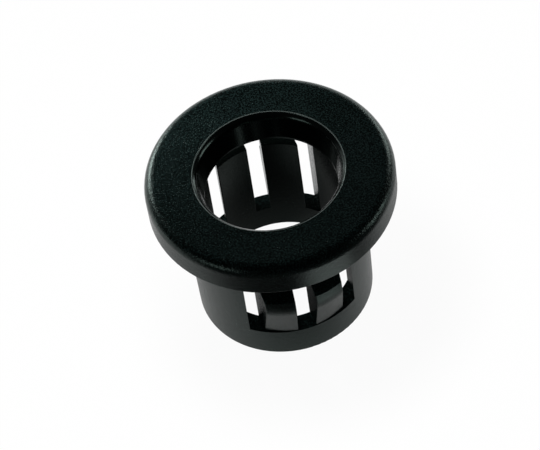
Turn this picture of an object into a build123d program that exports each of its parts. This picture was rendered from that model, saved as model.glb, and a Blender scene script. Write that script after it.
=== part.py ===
from build123d import *
from math import radians, tan
import os

# Snap-in panel bushing, one injection moulding in black nylon. It stands on its open end, with
# the axis of its bore on Z. Its snap fingers are in two groups, one facing +Y and one -Y.
# All sizes are in millimetres and degrees.

overall_height = 12.3
flange_diameter = 16.75
flange_thickness = 2.35
flange_round = 0.75          # top outer edge
flange_edge_break = 0.1      # bottom outer edge

barrel_diameter = 12.4       # at the flange, an easy fit in a 12.7 mm panel hole
barrel_wall = 1.35
barrel_draft = 0.8           # the barrel narrows towards its open end
end_edge_break = 0.1         # outer edge of the open end
end_chamfer_height = 0.5     # inner edge of the open end
end_chamfer_width = 0.45

bore_step = 0.35             # the bore is tighter than the barrel's inside by this, all round
bore_depth = 2.1             # from the flange's top face to the step
bore_land = 0.15             # straight part of the bore, next to the step
mouth_flare = 0.29           # the bore opens by this from its land to the lip
lip_height = 0.26            # bevel round the edge of the mouth
lip_width = 0.31
lip_round = 0.5              # where the bevel runs into the flare
lip_edge_break = 0.05

ring_height = 2.36           # the closed end of the barrel, below the slots
outer_slot_offset = 3.72     # middle plane to the far side of an outer slot
outer_slot_width = 0.84
middle_slot_width = 1.02
finger_clearance = 0.82      # free end of a finger to the flange
finger_side_draft = 5.2      # the fingers narrow outwards, in plan
finger_edge_break = 0.06

panel_grip = 2.92            # flange to the inner end of a snap's shoulder
shoulder_drop = 0.3
shoulder_reach = 0.77        # how far the shoulder stands out from the barrel's diameter
shoulder_edge_break = 0.06
land_height = 0.85           # shoulder to crest
crest_reach = 0.92
crest_round = 2.0            # where the land runs into the ramp
foot_recess = 0.04           # the ramp ends this far inside the ring's face
snap_axis_offset = 1.0       # the snaps are turned about an axis nearer to them than the bore's

# What follows from them.
flange_radius = flange_diameter / 2
flange_underside = overall_height - flange_thickness
barrel_radius = barrel_diameter / 2
barrel_inner_radius = barrel_radius - barrel_wall
bore_radius = barrel_inner_radius - bore_step
bore_step_height = overall_height - bore_depth
flare_radius = bore_radius + mouth_flare
barrel_narrowing = tan(radians(barrel_draft))
end_radius = barrel_radius - flange_underside * barrel_narrowing
ring_radius = end_radius + ring_height * barrel_narrowing

finger_top = flange_underside - finger_clearance
shoulder_height = flange_underside - panel_grip
shoulder_edge_height = shoulder_height - shoulder_drop
crest_height = shoulder_edge_height - land_height
crest_radius = barrel_radius + crest_reach
finger_near_side = middle_slot_width / 2
finger_far_side = outer_slot_offset - outer_slot_width
side_narrowing = tan(radians(finger_side_draft))

# The pair of snap fingers that faces +Y.
with BuildPart() as finger_pair:
    with BuildSketch(Plane.XY.offset(ring_height)):
        with BuildLine():
            near_corner = (finger_near_side, (barrel_inner_radius**2 - finger_near_side**2) ** 0.5)
            far_corner = (finger_far_side, (barrel_inner_radius**2 - finger_far_side**2) ** 0.5)
            plan_end = crest_radius + snap_axis_offset
            near_end = finger_near_side + (plan_end - near_corner[1]) * side_narrowing
            far_end = finger_far_side - (plan_end - far_corner[1]) * side_narrowing
            Polyline(
                (finger_near_side, 0),
                near_corner,
                (near_end, plan_end),
                (far_end, plan_end),
                far_corner,
                (finger_far_side, 0),
                close=True,
            )
        make_face()
        mirror(about=Plane.YZ)
    extrude(amount=finger_top - ring_height)

    # The wall, shoulder, land and ramp, drawn on the middle plane and swung about the snaps' own
    # axis, so that their faces are rounder than the barrel.
    with BuildSketch(Plane.YZ):
        with BuildLine():
            Polyline(
                (snap_axis_offset, ring_height),
                (ring_radius - foot_recess, ring_height),
                (crest_radius, crest_height),
                (barrel_radius + shoulder_reach, shoulder_edge_height),
                (barrel_radius, shoulder_height),
                (barrel_radius, finger_top),
                (snap_axis_offset, finger_top),
                close=True,
            )
        make_face()
        fillet(vertices().sort_by(Axis.X)[-2], shoulder_edge_break)
        fillet(vertices().sort_by(Axis.X)[-1], crest_round)
    revolve(axis=Axis((0, snap_axis_offset, 0), (0, 0, 1)), mode=Mode.INTERSECT)

    with BuildSketch(Plane.XY.offset(ring_height)):
        Circle(barrel_inner_radius)
    extrude(amount=finger_top - ring_height, mode=Mode.SUBTRACT)
    fillet(edges().filter_by(Plane.XY, reverse=True), finger_edge_break)

with BuildPart() as snap_bushing:
    # Flange and barrel, turned as one profile round the bore.
    with BuildSketch(Plane.XZ):
        with BuildLine():
            Polyline(
                (flare_radius + lip_width, overall_height),
                (flange_radius, overall_height),
                (flange_radius, flange_underside),
                (barrel_radius, flange_underside),
                (end_radius, 0),
                (barrel_inner_radius + end_chamfer_width, 0),
                (barrel_inner_radius, end_chamfer_height),
                (barrel_inner_radius, bore_step_height),
                (bore_radius, bore_step_height),
                (bore_radius, bore_step_height + bore_land),
                (flare_radius, overall_height - lip_height),
                close=True,
            )
        make_face()
        # In a sketch the plane's own Y is the height.
        fillet(vertices().group_by(Axis.Y)[-2], lip_round)
        fillet(vertices().group_by(Axis.Y)[-1].sort_by(Axis.X)[0], lip_edge_break)
        fillet(vertices().group_by(Axis.Y)[-1].sort_by(Axis.X)[-1], flange_round)
        underside = vertices().filter_by_position(Axis.Y, flange_underside, flange_underside)
        fillet(underside.sort_by(Axis.X)[-1], flange_edge_break)
        fillet(vertices().group_by(Axis.Y)[0].sort_by(Axis.X)[-1], end_edge_break)
    revolve(axis=Axis.Z)

    # One window through both sides of the barrel, from the ring to the flange, with the fingers
    # set back into it. What stays open between them is the slots.
    with BuildSketch(Plane.XZ):
        with Locations((0, (ring_height + flange_underside) / 2)):
            Rectangle(2 * outer_slot_offset, flange_underside - ring_height)
    extrude(amount=flange_radius, both=True, mode=Mode.SUBTRACT)

    with PolarLocations(0, 2):
        add(finger_pair.part)

snap_bushing.part.label = "snap_bushing"

os.makedirs("parts", exist_ok=True)
export_step(snap_bushing.part, "parts/snap_bushing.step")
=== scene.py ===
import math

import bpy
from mathutils import Matrix, Vector


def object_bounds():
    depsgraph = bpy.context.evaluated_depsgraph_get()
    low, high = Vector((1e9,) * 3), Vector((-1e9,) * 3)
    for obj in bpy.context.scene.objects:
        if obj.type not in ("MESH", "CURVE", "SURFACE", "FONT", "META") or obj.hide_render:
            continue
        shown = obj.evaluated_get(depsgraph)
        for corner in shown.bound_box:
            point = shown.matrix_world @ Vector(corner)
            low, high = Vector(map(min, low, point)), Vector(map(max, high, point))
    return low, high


# Snap-in panel bushing: one moulding in black nylon, standing on its open end on a white table.
# Lengths are in metres, as in the frame. The bore's axis is Z, and the snaps face +Y and -Y.

MM = 0.001

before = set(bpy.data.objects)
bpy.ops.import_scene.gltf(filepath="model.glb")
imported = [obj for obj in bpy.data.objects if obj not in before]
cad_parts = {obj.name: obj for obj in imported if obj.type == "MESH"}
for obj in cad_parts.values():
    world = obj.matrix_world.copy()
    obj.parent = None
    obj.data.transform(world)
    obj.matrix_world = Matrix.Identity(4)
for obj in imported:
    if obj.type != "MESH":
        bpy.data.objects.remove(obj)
cad_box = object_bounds()

FLANGE_RADIUS = (cad_box[1][0] - cad_box[0][0]) / 2 / MM
HEIGHT = cad_box[1][2] / MM

# These are in millimetres, and follow the part's own sizes.
FLANGE_THICKNESS = 2.35
LIP_RADIUS = 5.1
BARREL_INSIDE_RADIUS = 4.85


# ---- Camera ----------------------------------------------------------------------------------

VIEW_POINT = Vector((-0.4768, 0.0732, 6.514)) * MM
VIEW_DISTANCE = 167.31 * MM
VIEW_AZIMUTH = 8.7345
VIEW_ELEVATION = 51.527
VIEW_ROLL = -9.1732
LENS = 164.5


def place_camera():
    """Looks down on the flange, a little from the left of the front snaps."""
    azimuth, elevation = math.radians(VIEW_AZIMUTH), math.radians(VIEW_ELEVATION)
    ahead = Vector((
        math.sin(azimuth) * math.cos(elevation),
        math.cos(azimuth) * math.cos(elevation),
        -math.sin(elevation),
    ))
    data = bpy.data.cameras.new("camera")
    data.sensor_width = 36.0
    data.lens = LENS
    data.clip_start = 0.01
    camera = bpy.data.objects.new("camera", data)
    bpy.context.collection.objects.link(camera)
    camera.matrix_world = (
        Matrix.Translation(VIEW_POINT - ahead * VIEW_DISTANCE)
        @ ahead.to_track_quat("-Z", "Y").to_matrix().to_4x4()
        @ Matrix.Rotation(math.radians(VIEW_ROLL), 4, "Z")
    )
    bpy.context.scene.camera = camera


# ---- Shader maths ----------------------------------------------------------------------------

LINE_CORE = 0.6              # how much of a line's half width is at full strength


class Value:
    """A number socket that can be used in Python sums."""

    def __init__(self, finish, socket):
        self.finish, self.socket = finish, socket

    def __add__(self, other):
        return self.finish.number("ADD", self, other)

    def __radd__(self, other):
        return self.finish.number("ADD", other, self)

    def __sub__(self, other):
        return self.finish.number("SUBTRACT", self, other)

    def __rsub__(self, other):
        return self.finish.number("SUBTRACT", other, self)

    def __mul__(self, other):
        return self.finish.number("MULTIPLY", self, other)

    def __rmul__(self, other):
        return self.finish.number("MULTIPLY", other, self)

    def __pow__(self, other):
        return self.finish.number("POWER", self, other)

    def __abs__(self):
        return self.finish.number("ABSOLUTE", self)


class Finish:
    """The nodes of a material or of the world, with one method that adds any of them."""

    def __init__(self, owner, output):
        owner.use_nodes = True
        self.tree = owner.node_tree
        self.tree.nodes.clear()
        self.output = self.tree.nodes.new(output)

    def node(self, kind, settings=None, inputs=None, result=0):
        made = self.tree.nodes.new("ShaderNode" + kind)
        for name, setting in (settings or {}).items():
            setattr(made, name, setting)
        for name, given in (inputs or {}).items():
            if isinstance(given, Value):
                self.tree.links.new(given.socket, made.inputs[name])
            else:
                made.inputs[name].default_value = given
        return Value(self, made.outputs[result])

    def number(self, operation, *terms):
        return self.node("Math", {"operation": operation}, dict(enumerate(terms)))

    def larger(self, first, second):
        return self.number("MAXIMUM", first, second)

    def parts(self, vector):
        """The X, Y and Z of a vector."""
        split = self.node("SeparateXYZ", inputs={"Vector": vector})
        return [Value(self, part) for part in split.socket.node.outputs]

    def place_in_mm(self):
        """The place on the object, as a vector in millimetres."""
        place = self.node("TexCoord", result="Object")
        return self.node("VectorMath", {"operation": "SCALE"}, {0: place, "Scale": 1 / MM})

    def ray_kinds(self):
        """Three masks: a camera ray, a mirrored ray, and a ray that came through something."""
        kinds = ("Is Camera Ray", "Is Glossy Ray", "Is Transmission Ray")
        return [self.node("LightPath", result=kind) for kind in kinds]

    def step(self, value, start, end):
        """0 below start, 1 above end, smooth between them."""
        return self.node(
            "MapRange", {"interpolation_type": "SMOOTHSTEP"},
            {"Value": value, "From Min": start, "From Max": end},
        )

    def line(self, value, place, half_width):
        """1 where the value is at the place, falling to 0 at half the width from it."""
        return 1 - self.step(abs(value - place), half_width * LINE_CORE, half_width)

    def blend(self, mask, first, second):
        """A colour between two others. A Mix node's colours go by number, as it repeats names."""
        return self.node("Mix", {"data_type": "RGBA"}, {0: mask, 6: first, 7: second}, result=2)

    def surface(self, shader):
        self.tree.links.new(shader.socket, self.output.inputs["Surface"])


def distance(first, second):
    """The distance that two legs at a right angle make."""
    return (first * first + second * second) ** 0.5


# ---- Black nylon -----------------------------------------------------------------------------

NYLON_DARK = (0.0003, 0.0008, 0.0008, 1)
NYLON_LIGHT = (0.0082, 0.0170, 0.0163, 1)
NYLON_POLISHED = (0.0010, 0.0014, 0.0013, 1)
DUST = (0.07, 0.085, 0.08, 1)
# A paler colour painted along the lip and the flange's lower edge, as a painted highlight.
PAINTED_EDGE_HIGHLIGHT = (0.090, 0.110, 0.104, 1)
SHEEN_TINT = (0.70, 1.0, 0.90, 1)
NYLON_IOR = 1.5

# The patterns' scales are in spots to a millimetre.
FINE_SCALE = 9.5
COARSE_SCALE = 2.2
CLOUD_SCALE = 0.35
SPECK_SCALE = 1.6

GRAIN_DEPTH = 0.032 * MM
MOUTH_SMOOTHNESS = 0.85      # how much of the grain is polished away there
BARREL_SMOOTHNESS = 0.35
ROUGHNESS = 0.24
FINE_ROUGHNESS = 0.10
CLOUD_ROUGHNESS = 0.06
MOUTH_POLISH = 0.06
MOTTLE = (0.42, 0.64)        # the pattern's levels between which dark turns to light
SPECK_SIZE = (0.03, 0.055)
DUSTY = (0.5, 0.56)          # the coarse pattern's levels above which there is dust
EDGE_LINE = 0.045            # half the width of the painted highlight line on a moulded edge, in mm
FINISH_BLEND = 0.1           # over how many mm one finish turns into the next
LIP_BLEND = 0.06


def black_nylon():
    """Satin moulded nylon: a fine grain on the flange, polished in the mouth of the bore."""
    made = bpy.data.materials.new("black nylon")
    nylon = Finish(made, "ShaderNodeOutputMaterial")
    in_mm = nylon.place_in_mm()
    x, y, z = nylon.parts(in_mm)
    radius = distance(x, y)

    # Where the mouth, the inside of the barrel and the two edges with a painted highlight line
    # are.
    underside = HEIGHT - FLANGE_THICKNESS
    above_barrel = nylon.step(z, underside - FINISH_BLEND, underside + FINISH_BLEND)
    mouth = above_barrel * (1 - nylon.step(radius, LIP_RADIUS - LIP_BLEND, LIP_RADIUS))
    inside_wall = 1 - nylon.step(
        radius, BARREL_INSIDE_RADIUS, BARREL_INSIDE_RADIUS + FINISH_BLEND
    )
    inside_barrel = (1 - above_barrel) * inside_wall
    # Thin lines at the lip and at the flange's lower edge, where a highlight is painted.
    lip = nylon.line(radius, LIP_RADIUS, EDGE_LINE) * above_barrel
    outermost = nylon.step(
        radius, FLANGE_RADIUS - 2 * FINISH_BLEND, FLANGE_RADIUS - FINISH_BLEND
    )
    rim = nylon.line(z, underside, EDGE_LINE) * outermost

    fine = nylon.node("TexNoise", inputs={
        "Vector": in_mm, "Scale": FINE_SCALE, "Detail": 1.0, "Roughness": 0.5,
    })
    coarse = nylon.node("TexNoise", inputs={
        "Vector": in_mm, "Scale": COARSE_SCALE, "Detail": 2.0,
    })
    cloud = nylon.node("TexNoise", inputs={
        "Vector": in_mm, "Scale": CLOUD_SCALE, "Detail": 2.0,
    })
    speck = nylon.node("TexVoronoi", {"feature": "F1"}, {
        "Vector": in_mm, "Scale": SPECK_SCALE,
    })

    grain = 1 - MOUTH_SMOOTHNESS * mouth - BARREL_SMOOTHNESS * inside_barrel
    height = fine * 0.7 + coarse * 0.3
    bump = nylon.node("Bump", inputs={
        "Height": height * grain, "Strength": 1.0, "Distance": GRAIN_DEPTH,
    })
    roughness = (
        ROUGHNESS
        + FINE_ROUGHNESS * (fine - 0.5)
        + CLOUD_ROUGHNESS * (cloud - 0.5)
        - MOUTH_POLISH * mouth
    )

    mottle = nylon.step(fine * 0.9 + cloud * 0.1, *MOTTLE)
    dust = (1 - nylon.step(speck, *SPECK_SIZE)) * nylon.step(coarse, *DUSTY) * (1 - mouth)
    # A painted highlight along the lip and the flange's lower edge, varied by the cloud pattern.
    painted_edge_highlight = nylon.larger(lip, rim) * (0.5 + cloud)
    colour = nylon.blend(mottle, NYLON_DARK, NYLON_LIGHT)
    colour = nylon.blend(mouth, colour, NYLON_POLISHED)
    colour = nylon.blend(dust, colour, DUST)
    colour = nylon.blend(painted_edge_highlight, colour, PAINTED_EDGE_HIGHLIGHT)

    nylon.surface(nylon.node("BsdfPrincipled", inputs={
        "Base Color": colour,
        "Roughness": roughness,
        "Normal": bump,
        "IOR": NYLON_IOR,
        "Specular Tint": SHEEN_TINT,
    }))
    return made


# ---- Table, room and lamps -------------------------------------------------------------------

BLACK = (0, 0, 0, 1)
WHITE = (1, 1, 1, 1)
TABLE_SIZE = 1.6
TABLE_WHITE = (0.82, 0.83, 0.83, 1)

# How far what is seen of the table is pure white. The rest shows the bushing's shadow, which
# fades out round a point beside the bore's axis. Places on the table are in millimetres.
NEAR_WHITE = 0.955
FAR_WHITE = 0.996
MIRRORED_WHITE = 0.9
SHADOW_X, SHADOW_Y = 1.5, -1.5
SHADOW_FADE = (8.0, 14.0)

# Painted shade and light on the table, seen only where the bushing mirrors it: how light it is
# there, and between which places that changes.
FRONT_SHADE = 0.03
SIDE_SHADE = 0.52
BACK_SHADE = 1.0
FRONT_TO_SIDE = (-13.0, -4.0)
SIDE_TO_BACK = (5.0, 12.0)
PATCH_SHADE = 1.0            # a painted patch of light in front, at the right
PATCH_X, PATCH_Y = 6.0, -15.0
PATCH_FADE = (3.5, 6.5)
BARREL_SHADE = 0.02          # painted shade inside the barrel
BARREL_BACK_SHADE = 0.15     # added towards its back
BARREL_BACK = (0.0, 6.0)
BARREL_SIDE_SHADE = 0.3      # added towards its two sides
BARREL_SIDE = (1.0, 4.5)
BARREL_FOOT = (5.0, 6.2)

ROOM_LIGHT = 0.01
BACK_WALL_LIGHT = 0.05
BACK_WALL = (0.4, 1.0)       # where it starts, as the Y of a direction
BACK_WALL_FOOT = (0.15, 0.40)  # where its white foot ends, as the Z of a direction


def table_shade(paper, x, y):
    """Painted shade for mirrored rays: dark in front of the bushing and inside its barrel, and
    light behind it.
    """
    outside_shade = (
        FRONT_SHADE
        + (SIDE_SHADE - FRONT_SHADE) * paper.step(y, *FRONT_TO_SIDE)
        + (BACK_SHADE - SIDE_SHADE) * paper.step(y, *SIDE_TO_BACK)
    )
    patch = 1 - paper.step(distance(x - PATCH_X, y - PATCH_Y), *PATCH_FADE)
    outside_shade = outside_shade + (PATCH_SHADE - outside_shade) * patch
    inside_shade = (
        BARREL_SHADE
        + BARREL_BACK_SHADE * paper.step(y, *BARREL_BACK)
        + BARREL_SIDE_SHADE * paper.step(abs(x), *BARREL_SIDE)
    )
    outside = paper.step(distance(x, y), *BARREL_FOOT)
    return inside_shade + (outside_shade - inside_shade) * outside


def white_paper():
    """White to the camera, with a trace of the bushing's shadow round its foot. Mirrored rays see
    painted shade on it.
    """
    made = bpy.data.materials.new("white table")
    paper = Finish(made, "ShaderNodeOutputMaterial")
    seen, mirrored, through = paper.ray_kinds()
    x, y, _ = paper.parts(paper.place_in_mm())
    far = paper.step(distance(x - SHADOW_X, y - SHADOW_Y), *SHADOW_FADE)
    seen_white = NEAR_WHITE + (FAR_WHITE - NEAR_WHITE) * far
    plain = paper.larger(mirrored * MIRRORED_WHITE, paper.larger(seen, through) * seen_white)
    # The painted shade and light that the bushing's reflections show.
    shade = table_shade(paper, x, y)
    light = shade + (1 - shade) * seen
    paper.surface(paper.node("MixShader", inputs={
        0: plain,
        1: paper.node("BsdfDiffuse", inputs={"Color": TABLE_WHITE}),
        2: paper.node("Emission", inputs={"Color": paper.blend(light, BLACK, WHITE)}),
    }))
    return made


def white_table():
    """A flat sheet of white paper under the bushing."""
    half = TABLE_SIZE / 2
    corners = [(-half, -half, 0), (half, -half, 0), (half, half, 0), (-half, half, 0)]
    mesh = bpy.data.meshes.new("table")
    mesh.from_pydata(corners, [], [(0, 1, 2, 3)])
    mesh.materials.append(white_paper())
    table = bpy.data.objects.new("table", mesh)
    bpy.context.collection.objects.link(table)


def room():
    """A dim room with a paler wall at the back, whose foot is as white as the table."""
    world = bpy.context.scene.world or bpy.data.worlds.new("room")
    bpy.context.scene.world = world
    air = Finish(world, "ShaderNodeOutputWorld")
    seen, mirrored, through = air.ray_kinds()
    _, away, rise = air.parts(air.node("TexCoord", result="Generated"))
    behind = air.step(away, *BACK_WALL)
    backdrop = behind * (1 - air.step(rise, *BACK_WALL_FOOT))
    white = air.larger(seen, backdrop * air.larger(mirrored, through))
    light = ROOM_LIGHT + BACK_WALL_LIGHT * behind
    light = light + (1 - light) * white
    air.surface(air.node("Background", inputs={"Color": air.blend(light, BLACK, WHITE)}))


def softbox(name, azimuth, elevation, reach, width, height, radiance, mirrored=True):
    """A lit panel that faces the bushing. Azimuth runs from +X towards +Y."""
    data = bpy.data.lights.new(name, "AREA")
    data.shape = "RECTANGLE"
    data.size, data.size_y = width, height
    data.energy = radiance * math.pi * width * height
    lamp = bpy.data.objects.new(name, data)
    bpy.context.collection.objects.link(lamp)
    lamp.visible_camera = False
    lamp.visible_glossy = mirrored
    turn, rise = math.radians(azimuth), math.radians(elevation)
    lamp.location = reach * Vector((
        math.cos(turn) * math.cos(rise), math.sin(turn) * math.cos(rise), math.sin(rise)
    ))
    lamp.rotation_euler = lamp.location.to_track_quat("Z", "Y").to_euler()


# ---- The scene -------------------------------------------------------------------------------

LAMP_REACH = 0.40
FILL_REACH = 0.031           # close, so that the flange's front gets less of it than its back

place_camera()
white_table()
room()
softbox("left back", 117, 20, LAMP_REACH, width=0.10, height=0.14, radiance=10.0)
softbox("right back", 40, 18, LAMP_REACH, width=0.16, height=0.12, radiance=3.2)
softbox("right", -12, 15, LAMP_REACH, width=0.16, height=0.10, radiance=2.5)
softbox("left front", 208, 15, LAMP_REACH, width=0.16, height=0.10, radiance=1.6)
softbox("fill", 110, 58, FILL_REACH, width=0.008, height=0.008, radiance=22.0, mirrored=False)

finish = black_nylon()
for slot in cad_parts["snap_bushing"].material_slots:
    slot.material = finish

bpy.context.scene.view_settings.view_transform = "Standard"
